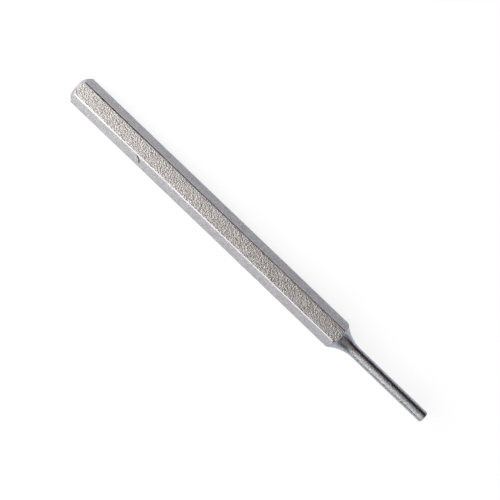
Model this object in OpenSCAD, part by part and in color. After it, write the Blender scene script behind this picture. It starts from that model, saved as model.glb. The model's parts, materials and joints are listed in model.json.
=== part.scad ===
// Pin punch: one length of hexagonal tool steel, chamfered at the struck end and turned down to a straight pin.
// It lies on one flat. The axis runs along +X from the struck face to the tip, and the origin is under its middle.

/* [Bar] */
// Width of the hexagonal bar across its flats
bar_flats = 9.12; // [7:0.01:16]
// Depth that the rounding takes off each of the bar's six corners
corner_trim = 0.05; // [0.03:0.01:0.3]
// Length from the struck face to the tip
overall_length = 151.9; // [120:0.1:200]

/* [Struck head] */
// Depth of the head's chamfer, measured in from the bar's rounded corners
head_chamfer = 1.45; // [0.5:0.05:2.5]
// Angle between the head's chamfer and the axis
head_chamfer_angle = 44; // [25:1:60]

/* [Shoulder and neck] */
// Depth below the flats at which the shoulder ends and the neck starts
shoulder_step = 0.15; // [0.1:0.05:0.8]
// Radius that rounds the bar's corners down into the neck
shoulder_radius = 3; // [1.6:0.1:4]
// Radius of the hollow curve that runs from the shoulder out along the pin
neck_radius = 12.8; // [8:0.1:30]

/* [Pin] */
// Diameter of the straight pin
pin_d = 3.93; // [2:0.01:5.5]
// Length of the straight pin, from the end of the neck to the tip
pin_length = 29.4; // [15:0.1:45]
// Chamfer round the edge of the tip
tip_chamfer = 0.2; // [0.05:0.05:0.5]

/* [Hidden] */
$fn = 144;

// The turned envelope clears the bar's corners by this much where the bar keeps its full section
turning_clearance = 0.1;
// The shoulder and the neck run this far into each other
zone_overlap = 0.3;
// The bar runs past both ends of the turned envelope, which trims it
bar_overrun = 1;

// Distance from the axis to a rounded corner, and to the outside of the turned envelope
corner_r = bar_flats / 2 / cos(30) - corner_trim;
turning_r = corner_r + turning_clearance;

head_face_r = corner_r - head_chamfer;
head_cone_length = (turning_r - head_face_r) / tan(head_chamfer_angle);

pin_r = pin_d / 2;
neck_root_r = bar_flats / 2 - shoulder_step;
neck_length = sqrt(pow(neck_radius, 2) - pow(neck_radius - (neck_root_r - pin_r), 2));
shoulder_centre_r = turning_r - shoulder_radius;
shoulder_length = sqrt(pow(shoulder_radius, 2) - pow(neck_root_r - shoulder_centre_r, 2));

// Stations along the axis, counted from the end of the neck, where the straight pin starts
struck_face = pin_length - overall_length;
neck_start = -neck_length;
shoulder_start = neck_start - shoulder_length;

// Section of the bar: three strips cross in a hexagon, two of its flats square to local X, and a circle rounds it
module hex_section() {
    intersection_for(turn = [0, 60, 120])
        rotate(turn)
            intersection() {
                square([bar_flats, 2 * bar_flats], center = true);
                circle(r = corner_r);
            }
}

// Corner that the shoulder's rounding takes off the bar
module shoulder_cut() {
    translate([shoulder_centre_r, shoulder_start])
        difference() {
            square(2 * shoulder_radius);
            circle(r = shoulder_radius);
        }
}

// Half section of the chamfered head, the bar and the rounded shoulder
module bar_profile() {
    difference() {
        polygon([
            [0, struck_face],
            [head_face_r, struck_face],
            [turning_r, struck_face + head_cone_length],
            [turning_r, neck_start + zone_overlap],
            [0, neck_start + zone_overlap],
        ]);
        shoulder_cut();
    }
}

// Half section of the hollow neck, tangent to the pin where it ends
module neck_profile() {
    difference() {
        translate([0, neck_start - zone_overlap])
            square([neck_root_r + zone_overlap, neck_length + zone_overlap]);
        translate([pin_r + neck_radius, 0]) circle(r = neck_radius);
    }
}

// Half section of the straight pin with its chamfered tip
module pin_profile() {
    polygon([
        [0, 0],
        [pin_r, 0],
        [pin_r, pin_length - tip_chamfer],
        [pin_r - tip_chamfer, pin_length],
        [0, pin_length],
    ]);
}

// The whole punch: the turned envelope cuts the round-ended scallops into the bar's six flats
module punch() {
    color("silver")
        translate([overall_length / 2 - pin_length, 0, bar_flats / 2])
            rotate([0, 90, 0])
                intersection() {
                    translate([0, 0, struck_face - bar_overrun])
                        linear_extrude(overall_length + 2 * bar_overrun) hex_section();
                    rotate_extrude() {
                        bar_profile();
                        neck_profile();
                        pin_profile();
                    }
                }
}

punch();
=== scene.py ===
"""Looks of the pin punch: a hexagonal steel bar turned down to a straight pin, lying on one of its flats."""

import json
import math

import bmesh
import bpy
from mathutils import Matrix, Vector


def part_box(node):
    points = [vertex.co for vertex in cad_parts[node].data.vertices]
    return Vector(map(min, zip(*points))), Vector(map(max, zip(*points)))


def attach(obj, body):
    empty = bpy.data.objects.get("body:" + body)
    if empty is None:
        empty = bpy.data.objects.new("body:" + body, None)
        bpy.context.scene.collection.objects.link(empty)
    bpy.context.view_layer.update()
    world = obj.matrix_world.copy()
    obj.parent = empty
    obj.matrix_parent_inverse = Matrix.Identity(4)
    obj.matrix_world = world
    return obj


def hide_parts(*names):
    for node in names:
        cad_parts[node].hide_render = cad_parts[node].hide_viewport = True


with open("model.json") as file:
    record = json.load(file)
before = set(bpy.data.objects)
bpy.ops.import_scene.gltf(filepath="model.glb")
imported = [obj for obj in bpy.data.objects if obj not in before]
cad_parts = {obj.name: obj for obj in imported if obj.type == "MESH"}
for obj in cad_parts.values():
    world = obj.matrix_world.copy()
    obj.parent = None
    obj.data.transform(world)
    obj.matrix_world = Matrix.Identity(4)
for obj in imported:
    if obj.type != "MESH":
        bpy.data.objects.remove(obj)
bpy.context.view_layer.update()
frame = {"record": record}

MM = 0.001

# Sizes that the frame gives: the axis runs along +X from the struck face to the tip
low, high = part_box("punch")
mounts = {mount["name"]: mount for mount in frame["record"]["mounts"]}
pin_sizes = mounts["drive_pin"]["dims"]
head_x = low.x
tip_x = high.x
axis_z = (low.z + high.z) / 2
flat_r = (high.z - low.z) / 2
corner_r = (high.y - low.y) / 2
pin_r = pin_sizes["r_mm"] * MM
pin_length = pin_sizes["length_mm"] * MM

# Angles round the bar in degrees: one side of the hexagon, half of it, and one facet of a rounded corner
side_angle = 60
half_side_angle = side_angle // 2
facet_angle = 10
half_side = math.radians(half_side_angle)

# Corner rounding that brings the sharp hexagon in to the frame's corners, and what handling rubbed off them
sharp_corner_r = flat_r / math.cos(half_side)
corner_rub = 0.02 * MM
edge_round = (sharp_corner_r - corner_r + corner_rub) / (1 / math.cos(half_side) - 1)
edge_centre_r = corner_r - corner_rub - edge_round

# Turned shape of the head, shoulder, neck and tip, with the chamfer's angle in degrees from the axis
turning_clearance = 0.1 * MM
head_chamfer = 1.45 * MM
head_chamfer_angle = 44
shoulder_step = 0.15 * MM
shoulder_radius = 3 * MM
neck_radius = 12.8 * MM
tip_chamfer = 0.2 * MM
rim_round = 0.2 * MM

# Radii, turns and stations that follow from it
turning_r = corner_r + turning_clearance
head_face_r = corner_r - head_chamfer
head_cone = (turning_r - head_face_r) / math.tan(math.radians(head_chamfer_angle))
pin_start_x = tip_x - tip_chamfer - pin_length
neck_root_r = flat_r - shoulder_step
neck_turn = math.acos(1 - (neck_root_r - pin_r) / neck_radius)
neck_start_x = pin_start_x - neck_radius * math.sin(neck_turn)
shoulder_centre_r = turning_r - shoulder_radius
shoulder_turn = math.acos((neck_root_r - shoulder_centre_r) / shoulder_radius)
shoulder_start_x = neck_start_x - shoulder_radius * math.sin(shoulder_turn)

# Nick in the flat on the -Y side: its bends, in mm along the bar and down from the upper corner, and its size
nick_bends = [(-46.9, 0.6), (-45.9, 1.3), (-45.2, 2.8)]
nick_width = 0.55 * MM
nick_depth = 0.3 * MM
# Half length of a dent as a share of the way between two bends, so that one dent runs into the next
nick_reach = 0.62

# Fineness of the mesh
lathe_steps = 144
shoulder_steps = 14
neck_steps = 32
rim_segments = 3
nick_sides = 24
nick_rings = 13

# Distances in metres within which points count as one, when they are merged and in a cut
merge_distance = 1e-7
cut_distance = 1e-8

# Bends in radians past which an edge of the struck face is rounded, and past which the shading breaks
struck_rim_bend = 0.3
shading_bend = math.radians(32)

# Material slots of the punch
FLATS, HEAD, PIN, NICK, RIMS = range(5)

# Colours of the steel, each from dark to light, and of the worn corners
WORN = (0.82, 0.81, 0.8)
ROSY = ((0.53, 0.5, 0.49), (0.685, 0.65, 0.635))
GREENISH = ((0.505, 0.515, 0.485), (0.655, 0.665, 0.63))
GROUND = ((0.32, 0.315, 0.32), (0.59, 0.61, 0.605))
TURNED = ((0.51, 0.49, 0.48), (0.62, 0.6, 0.59))
RUBBED = ((0.72, 0.71, 0.7), WORN)
# Dark colours of the nick: partly dirt, partly painted shade where the recess would fall into shade
NICK_DIRT_AND_SHADE = ((0.1, 0.09, 0.095), (0.2, 0.185, 0.19))

# Floor: its grey under the lamps, its glow for the camera and in the steel, and half its width in metres
FLOOR_GREY = (0.3, 0.3, 0.305)
FLOOR_SEEN = 0.82
SEEN_TINT = (1, 1, 1)
FLOOR_MIRRORED = 0.62
MIRRORED_TINT = (0.94, 1, 1.16)
floor_reach = 20

# Colour of the dim studio round the floor
STUDIO = (0.045, 0.022, 0.032)

# Lamps: name, bearing from +X and height above the floor in degrees, distance and size in metres,
# brightness and tint
WARM = (1, 0.965, 0.94)
MILD = (0.985, 1, 0.96)
COOL = (1, 1, 1.02)
LAMPS = [
    ("low_softbox", -165, 14, 0.5, (0.6, 0.24), 1.2, WARM),
    ("head_softbox", -166, 29, 0.26, (0.4, 0.2), 2.25, WARM),
    ("side_softbox", -100, 33, 0.6, (0.9, 0.31), 1.55, COOL),
    ("over_softbox", -96, 62, 0.6, (0.9, 0.31), 1.05, COOL),
    ("top_softbox", 0, 90, 0.6, (0.42, 0.42), 0.7, MILD),
    ("tip_softbox", 0, 38, 0.6, (0.5, 0.6), 0.26, COOL),
]

# Camera: its sensor and lens in mm, what it looks at and from how far, and its lean and turn in degrees
camera_sensor = 36
camera_lens = 74.74
camera_aim = Vector((-0.766 * MM, 0.327 * MM, axis_z))
camera_distance = 330.6 * MM
camera_lean = 1.4
camera_turn = 43.75


def add_object(name, bm, materials):
    """Puts a finished mesh into the scene at the origin."""
    mesh = bpy.data.meshes.new(name)
    bm.to_mesh(mesh)
    bm.free()
    for material in materials:
        mesh.materials.append(material)
    made = bpy.data.objects.new(name, mesh)
    bpy.context.collection.objects.link(made)
    return made


def line_to(bm, start, x, r):
    """Runs the half section straight on to a station and a radius."""
    end = bm.verts.new((x, 0, r))
    bm.edges.new((start, end))
    return end


def arc_to(bm, start, centre_x, centre_r, turn, steps):
    """Runs the half section on along an arc."""
    made = bmesh.ops.spin(
        bm, geom=[start], cent=(centre_x, 0, centre_r), axis=(0, 1, 0), angle=turn, steps=steps
    )
    return made["geom_last"][0]


def turn_envelope(bm):
    """Turns the half section of the head, shoulder, neck and pin round the axis."""
    at = bm.verts.new((head_x, 0, 0))
    at = line_to(bm, at, head_x, head_face_r)
    at = line_to(bm, at, head_x + head_cone, turning_r)
    at = line_to(bm, at, shoulder_start_x, turning_r)
    at = arc_to(bm, at, shoulder_start_x, shoulder_centre_r, shoulder_turn, shoulder_steps)
    at = arc_to(bm, at, pin_start_x, pin_r + neck_radius, -neck_turn, neck_steps)
    at = line_to(bm, at, tip_x - tip_chamfer, pin_r)
    at = line_to(bm, at, tip_x, pin_r - tip_chamfer)
    line_to(bm, at, tip_x, 0)
    bmesh.ops.spin(
        bm,
        geom=bm.verts[:] + bm.edges[:],
        cent=(0, 0, 0),
        axis=(1, 0, 0),
        angle=2 * math.pi,
        steps=lathe_steps,
        use_merge=True,
    )
    bmesh.ops.remove_doubles(bm, verts=bm.verts, dist=merge_distance)
    for face in bm.faces:
        face.material_index = HEAD if face.calc_center_median().x < 0 else PIN
        face.smooth = True


def cut_flats(bm):
    """Cuts the six flats and the facets of their rounded corners, and closes each cut with one face."""
    for angle in range(0, 360, facet_angle):
        off_corner = (angle + half_side_angle) % side_angle - half_side_angle
        is_flat = abs(off_corner) == half_side_angle
        reach = edge_centre_r * math.cos(math.radians(off_corner)) + edge_round
        out = Vector((0, math.cos(math.radians(angle)), math.sin(math.radians(angle))))
        cut = bmesh.ops.bisect_plane(
            bm,
            geom=bm.verts[:] + bm.edges[:] + bm.faces[:],
            dist=cut_distance,
            plane_co=out * reach,
            plane_no=out,
            clear_outer=True,
        )
        rim = [part for part in cut["geom_cut"] if isinstance(part, bmesh.types.BMEdge)]
        for face in bmesh.ops.contextual_create(bm, geom=rim)["faces"]:
            face.material_index = FLATS
            face.smooth = not is_flat


def round_rims(bm):
    """Takes the sharpness off the rims where the turning cuts the bar and off the struck face's edge."""
    rims = []
    for edge in bm.edges:
        faces = edge.link_faces
        between = len({face.material_index for face in faces}) == 2
        on_head = all(abs(vert.co.x - head_x) < merge_distance for vert in edge.verts)
        head_rim = on_head and len(faces) == 2 and edge.calc_face_angle() > struck_rim_bend
        if between or head_rim:
            rims.append(edge)
    rounded = bmesh.ops.bevel(
        bm,
        geom=rims,
        offset=rim_round,
        offset_type="OFFSET",
        affect="EDGES",
        segments=rim_segments,
        profile=0.5,
        material=-1,
        clamp_overlap=True,
    )
    for face in rounded["faces"]:
        face.material_index = RIMS


def make_nick_cutter(materials):
    """Makes the two slim drops that dent the flat, lying along the nick's two lengths."""
    bm = bmesh.new()
    down = Vector((0, -math.sin(half_side), -math.cos(half_side)))
    out = Vector((0, -math.cos(half_side), math.sin(half_side)))
    upper_corner = Vector((0, -flat_r * math.tan(half_side), axis_z + flat_r))
    places = [upper_corner + Vector((x * MM, 0, 0)) + down * (drop * MM) for x, drop in nick_bends]
    for start, end in zip(places, places[1:]):
        along = end - start
        axes = Matrix((along.normalized(), out.cross(along.normalized()), out)).transposed().to_4x4()
        sizes = Matrix.Diagonal((along.length * nick_reach, nick_width / 2, nick_depth, 1))
        middle = Matrix.Translation((start + end) / 2)
        bmesh.ops.create_uvsphere(
            bm, u_segments=nick_sides, v_segments=nick_rings, radius=1, matrix=middle @ axes @ sizes
        )
    bmesh.ops.recalc_face_normals(bm, faces=bm.faces)
    for face in bm.faces:
        face.material_index = NICK
        face.smooth = True
    return add_object("nick_cutter", bm, materials)


def cut_nick(piece, cutter):
    """Takes the cutter out of the punch and keeps the result as its mesh."""
    cut = piece.modifiers.new("nick", "BOOLEAN")
    cut.operation = "DIFFERENCE"
    cut.solver = "EXACT"
    cut.use_self = True
    cut.object = cutter
    whole = piece.data
    evaluated = piece.evaluated_get(bpy.context.evaluated_depsgraph_get())
    piece.data = bpy.data.meshes.new_from_object(evaluated)
    piece.modifiers.clear()
    bpy.data.meshes.remove(whole)
    bpy.data.meshes.remove(cutter.data)


def make_punch(materials):
    """Turns the envelope, cuts the flats into it, rounds the rims and cuts the nick."""
    bm = bmesh.new()
    turn_envelope(bm)
    cut_flats(bm)
    round_rims(bm)
    bmesh.ops.translate(bm, verts=bm.verts, vec=(0, 0, axis_z))
    bmesh.ops.remove_doubles(bm, verts=bm.verts, dist=merge_distance)
    bmesh.ops.recalc_face_normals(bm, faces=bm.faces)
    piece = add_object("pin_punch", bm, materials)
    cut_nick(piece, make_nick_cutter(materials))
    piece.data.name = "pin_punch"
    piece.data.set_sharp_from_angle(angle=shading_bend)
    return piece


def node(tree, kind, **settings):
    """Adds a node with the given settings."""
    made = tree.nodes.new(kind)
    for name, value in settings.items():
        setattr(made, name, value)
    return made


def feed(tree, value, socket):
    """Links another node's output into a socket, or sets the socket to a plain value."""
    if isinstance(value, bpy.types.NodeSocket):
        tree.links.new(value, socket)
    else:
        socket.default_value = value


def math_node(tree, operation, first, second):
    made = node(tree, "ShaderNodeMath", operation=operation)
    feed(tree, first, made.inputs[0])
    feed(tree, second, made.inputs[1])
    return made.outputs[0]


def rescale(tree, value, source=(0, 1), target=(0, 1)):
    """Carries one range of values over to another, easing in and out at its ends."""
    made = node(tree, "ShaderNodeMapRange", interpolation_type="SMOOTHSTEP")
    tree.links.new(value, made.inputs["Value"])
    made.inputs["From Min"].default_value, made.inputs["From Max"].default_value = source
    made.inputs["To Min"].default_value, made.inputs["To Max"].default_value = target
    return made.outputs["Result"]


def shades(tree, factor, dark, light):
    """Turns a value from 0 to 1 into a colour from dark to light."""
    made = node(tree, "ShaderNodeValToRGB")
    tree.links.new(factor, made.inputs["Fac"])
    for element, colour in zip(made.color_ramp.elements, (dark, light)):
        element.color = (*colour, 1)
    return made.outputs["Color"]


def blend(tree, factor, first, second):
    """Goes from the first colour to the second as the factor goes from 0 to 1."""
    made = node(tree, "ShaderNodeMix", data_type="RGBA")
    tree.links.new(factor, made.inputs[0])
    feed(tree, first, made.inputs[6])
    feed(tree, second, made.inputs[7])
    return made.outputs[2]


def noise(tree, position, scale, detail, roughness):
    made = node(tree, "ShaderNodeTexNoise")
    tree.links.new(position, made.inputs["Vector"])
    feed(tree, scale, made.inputs["Scale"])
    made.inputs["Detail"].default_value = detail
    made.inputs["Roughness"].default_value = roughness
    return made.outputs["Fac"]


def new_group(name, inputs, outputs):
    """Starts a shader node group that takes a position in mm and the named values."""
    group = bpy.data.node_groups.new(name, "ShaderNodeTree")
    group.interface.new_socket(name="Position", in_out="INPUT", socket_type="NodeSocketVector")
    for label in inputs:
        group.interface.new_socket(name=label, in_out="INPUT", socket_type="NodeSocketFloat")
    for label in outputs:
        group.interface.new_socket(name=label, in_out="OUTPUT", socket_type="NodeSocketFloat")
    return group, node(group, "NodeGroupInput"), node(group, "NodeGroupOutput")


def steel_grain_group():
    """Fine pebbled grain of blasted steel: its height, crests, broad mottling and change of tint."""
    cells_per_grain = 0.8
    cell_depth = 0.4
    tints_per_grain = 0.4
    group, given, made = new_group(
        "steel_grain", ["Grains per mm", "Patches per mm"], ["Height", "Crests", "Mottle", "Tint"]
    )
    position = given.outputs["Position"]
    grains = given.outputs["Grains per mm"]
    pebbles = noise(group, position, grains, detail=2, roughness=0.55)
    cells = node(group, "ShaderNodeTexVoronoi", feature="F1")
    group.links.new(position, cells.inputs["Vector"])
    group.links.new(math_node(group, "MULTIPLY", grains, cells_per_grain), cells.inputs["Scale"])
    domes = math_node(group, "MULTIPLY", cells.outputs["Distance"], cell_depth)
    height = math_node(group, "SUBTRACT", pebbles, domes)
    mottle = noise(group, position, given.outputs["Patches per mm"], detail=4, roughness=0.6)
    tints = math_node(group, "MULTIPLY", grains, tints_per_grain)
    tint = noise(group, position, tints, detail=2, roughness=0.6)
    group.links.new(height, made.inputs["Height"])
    group.links.new(rescale(group, height, source=(0, 0.5)), made.inputs["Crests"])
    group.links.new(rescale(group, mottle, source=(0.3, 0.7)), made.inputs["Mottle"])
    group.links.new(rescale(group, tint, source=(0.35, 0.65)), made.inputs["Tint"])
    return group


def lathe_lines_group():
    """Fine rings that the cutting and grinding leave round the axis."""
    change_across = 0.06
    group, given, made = new_group("lathe_lines", ["Lines per mm"], ["Height"])
    stretch = node(group, "ShaderNodeMapping")
    stretch.inputs["Scale"].default_value = (1, change_across, change_across)
    group.links.new(given.outputs["Position"], stretch.inputs["Vector"])
    rings = noise(group, stretch.outputs["Vector"], given.outputs["Lines per mm"], detail=3, roughness=0.7)
    group.links.new(rings, made.inputs["Height"])
    return group


def corner_wear_group():
    """Where handling has rubbed the bar's six corners bright, with a ragged inner limit in mm."""
    rags_per_mm = 1.1
    middle_of_noise = 0.5
    fading = 0.06
    rounding_r = math.hypot(flat_r, edge_centre_r * math.sin(half_side)) / MM
    group, given, made = new_group("corner_wear", ["Raggedness"], ["Wear"])
    position = given.outputs["Position"]
    across = node(group, "ShaderNodeVectorMath", operation="MULTIPLY")
    across.inputs[1].default_value = (0, 1, 1)
    group.links.new(position, across.inputs[0])
    radius = node(group, "ShaderNodeVectorMath", operation="LENGTH")
    group.links.new(across.outputs["Vector"], radius.inputs[0])
    rags = noise(group, position, rags_per_mm, detail=3, roughness=0.6)
    ragged = math_node(group, "SUBTRACT", rags, middle_of_noise)
    reach = math_node(group, "MULTIPLY", ragged, given.outputs["Raggedness"])
    worn = math_node(group, "ADD", radius.outputs["Value"], reach)
    group.links.new(rescale(group, worn, source=(rounding_r - fading, rounding_r)), made.inputs["Wear"])
    return group


def place_group(tree, group, position, **values):
    """Places a node group in a material with its own values, whose names have _ for each space."""
    made = node(tree, "ShaderNodeGroup", node_tree=group)
    tree.links.new(position, made.inputs["Position"])
    for label, value in values.items():
        made.inputs[label.replace("_", " ")].default_value = value
    return made.outputs


def position_in_mm(tree):
    """Object coordinates in millimetres, with the punch's axis at zero."""
    coords = node(tree, "ShaderNodeTexCoord")
    centre = node(tree, "ShaderNodeMapping")
    centre.inputs["Location"].default_value = (0, 0, -axis_z / MM)
    centre.inputs["Scale"].default_value = (1 / MM, 1 / MM, 1 / MM)
    tree.links.new(coords.outputs["Object"], centre.inputs["Vector"])
    return centre.outputs["Vector"]


def steel_material(name):
    """Starts a bare metal that its caller colours and roughens."""
    material = bpy.data.materials.new(name)
    material.use_nodes = True
    tree = material.node_tree
    shader = tree.nodes["Principled BSDF"]
    shader.inputs["Metallic"].default_value = 1
    return material, tree, shader


def bump(tree, shader, height, depth):
    """Shades the surface as if it were raised by the height times the depth."""
    made = node(tree, "ShaderNodeBump")
    made.inputs["Strength"].default_value = 1
    made.inputs["Distance"].default_value = depth
    tree.links.new(height, made.inputs["Height"])
    tree.links.new(made.outputs["Normal"], shader.inputs["Normal"])


def grained_flats(grain_group, wear_group):
    """Matt grained steel in two close tints, rubbed smooth and bright along the corners."""
    polish_of_wear = 0.3
    material, tree, shader = steel_material("grained_flats")
    position = position_in_mm(tree)
    grain = place_group(tree, grain_group, position, Grains_per_mm=2.4, Patches_per_mm=0.3)
    wear = place_group(tree, wear_group, position, Raggedness=0.06)["Wear"]
    rosy = shades(tree, grain["Crests"], *ROSY)
    greenish = shades(tree, grain["Crests"], *GREENISH)
    steel = blend(tree, grain["Tint"], rosy, greenish)
    tree.links.new(blend(tree, wear, steel, (*WORN, 1)), shader.inputs["Base Color"])
    matt = rescale(tree, grain["Mottle"], target=(0.52, 0.42))
    polish = math_node(tree, "MULTIPLY", wear, polish_of_wear)
    tree.links.new(math_node(tree, "SUBTRACT", matt, polish), shader.inputs["Roughness"])
    unworn = math_node(tree, "SUBTRACT", 1, wear)
    bump(tree, shader, math_node(tree, "MULTIPLY", grain["Height"], unworn), depth=0.46 * MM)
    return material


def ground_pin(grain_group, lathe_group):
    """Dark ground steel of the neck and pin, with fine rings in its grain."""
    share_of_rings = 0.3
    material, tree, shader = steel_material("ground_pin")
    position = position_in_mm(tree)
    grain = place_group(tree, grain_group, position, Grains_per_mm=1.9, Patches_per_mm=0.5)
    rings = place_group(tree, lathe_group, position, Lines_per_mm=6)
    tree.links.new(shades(tree, grain["Crests"], *GROUND), shader.inputs["Base Color"])
    tree.links.new(rescale(tree, grain["Mottle"], target=(0.34, 0.26)), shader.inputs["Roughness"])
    fine_rings = math_node(tree, "MULTIPLY", rings["Height"], share_of_rings)
    bump(tree, shader, math_node(tree, "ADD", grain["Height"], fine_rings), depth=0.07 * MM)
    return material


def bright_chamfer(grain_group, lathe_group):
    """Turned steel of the struck head, with rings that show through a faint grain."""
    share_of_grain = 0.4
    material, tree, shader = steel_material("bright_chamfer")
    position = position_in_mm(tree)
    grain = place_group(tree, grain_group, position, Grains_per_mm=2.8, Patches_per_mm=0.6)
    rings = place_group(tree, lathe_group, position, Lines_per_mm=5)
    tree.links.new(shades(tree, grain["Mottle"], *TURNED), shader.inputs["Base Color"])
    satin = rescale(tree, rings["Height"], source=(0.3, 0.7), target=(0.34, 0.42))
    tree.links.new(satin, shader.inputs["Roughness"])
    faint_grain = math_node(tree, "MULTIPLY", grain["Height"], share_of_grain)
    bump(tree, shader, math_node(tree, "ADD", faint_grain, rings["Height"]), depth=0.02 * MM)
    return material


def rubbed_rims(grain_group):
    """Steel that handling has rubbed bright, on the rims of the turning and round the struck face."""
    material, tree, shader = steel_material("rubbed_rims")
    grain = place_group(tree, grain_group, position_in_mm(tree), Grains_per_mm=3, Patches_per_mm=0.8)
    tree.links.new(shades(tree, grain["Mottle"], *RUBBED), shader.inputs["Base Color"])
    tree.links.new(rescale(tree, grain["Mottle"], target=(0.3, 0.2)), shader.inputs["Roughness"])
    bump(tree, shader, grain["Height"], depth=0.02 * MM)
    return material


def nick_dirt_and_shade(grain_group):
    """Dirt that has settled in the nick, darkened further by painted shade of the recess."""
    material, tree, shader = steel_material("nick_dirt_and_shade")
    grain = place_group(tree, grain_group, position_in_mm(tree), Grains_per_mm=4, Patches_per_mm=1.5)
    tree.links.new(shades(tree, grain["Mottle"], *NICK_DIRT_AND_SHADE), shader.inputs["Base Color"])
    tree.links.new(rescale(tree, grain["Crests"], target=(0.65, 0.5)), shader.inputs["Roughness"])
    bump(tree, shader, grain["Height"], depth=0.1 * MM)
    return material


def floor_material():
    """Pale floor that keeps the punch's shadow, and glows for the camera and in the steel's reflections."""
    material = bpy.data.materials.new("white_floor")
    material.use_nodes = True
    tree = material.node_tree
    tree.nodes.clear()
    out = node(tree, "ShaderNodeOutputMaterial")
    diffuse = node(tree, "ShaderNodeBsdfDiffuse")
    diffuse.inputs["Color"].default_value = (*FLOOR_GREY, 1)
    rays = node(tree, "ShaderNodeLightPath").outputs
    mirror_rays = math_node(tree, "MAXIMUM", rays["Is Glossy Ray"], rays["Is Transmission Ray"])
    seen = math_node(tree, "MULTIPLY", rays["Is Camera Ray"], FLOOR_SEEN)
    mirrored = math_node(tree, "MULTIPLY", mirror_rays, FLOOR_MIRRORED)
    surface = diffuse.outputs[0]
    for level, tint in ((seen, SEEN_TINT), (mirrored, MIRRORED_TINT)):
        glow = node(tree, "ShaderNodeEmission")
        glow.inputs["Color"].default_value = (*tint, 1)
        tree.links.new(level, glow.inputs["Strength"])
        both = node(tree, "ShaderNodeAddShader")
        tree.links.new(surface, both.inputs[0])
        tree.links.new(glow.outputs[0], both.inputs[1])
        surface = both.outputs[0]
    tree.links.new(surface, out.inputs["Surface"])
    return material


def make_floor():
    bm = bmesh.new()
    bmesh.ops.create_grid(bm, x_segments=1, y_segments=1, size=floor_reach)
    add_object("floor", bm, [floor_material()])


def make_world():
    world = bpy.data.worlds.new("studio")
    world.use_nodes = True
    back = world.node_tree.nodes["Background"]
    back.inputs["Color"].default_value = (*STUDIO, 1)
    bpy.context.scene.world = world


def make_softbox(name, bearing, height, distance, size, brightness, tint):
    """Hangs a soft lamp that faces the punch, with power in proportion to its area."""
    lamp = bpy.data.lights.new(name, "AREA")
    lamp.shape = "RECTANGLE"
    lamp.size, lamp.size_y = size
    lamp.energy = brightness * math.pi * lamp.size * lamp.size_y
    lamp.color = tint
    holder = bpy.data.objects.new(name, lamp)
    along = math.cos(math.radians(height))
    way = Vector((along * math.cos(math.radians(bearing)), along * math.sin(math.radians(bearing)), 0))
    way.z = math.sin(math.radians(height))
    holder.location = Vector((0, 0, axis_z)) + way * distance
    holder.rotation_euler = way.to_track_quat("Z", "Y").to_euler()
    holder.visible_camera = False
    bpy.context.collection.objects.link(holder)


def make_camera():
    """Looks down on the upper flat, a little from the -Y side, with the head at the picture's upper left."""
    data = bpy.data.cameras.new("camera")
    data.sensor_width = camera_sensor
    data.lens = camera_lens
    camera = bpy.data.objects.new("camera", data)
    lean = Matrix.Rotation(math.radians(camera_lean), 3, "X")
    turn = Matrix.Rotation(math.radians(camera_turn), 3, "Z")
    camera.location = camera_aim + lean @ Vector((0, 0, camera_distance))
    camera.rotation_euler = (lean @ turn).to_euler()
    bpy.context.collection.objects.link(camera)
    bpy.context.scene.camera = camera


steel_grain = steel_grain_group()
lathe_lines = lathe_lines_group()
corner_wear = corner_wear_group()

# One finish for each material slot, in the order of the slots
punch = make_punch([
    grained_flats(steel_grain, corner_wear),
    bright_chamfer(steel_grain, lathe_lines),
    ground_pin(steel_grain, lathe_lines),
    nick_dirt_and_shade(steel_grain),
    rubbed_rims(steel_grain),
])
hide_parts("punch")
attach(punch, "root")

make_floor()
make_world()
for lamp_values in LAMPS:
    make_softbox(*lamp_values)
make_camera()
bpy.context.scene.view_settings.view_transform = "Standard"
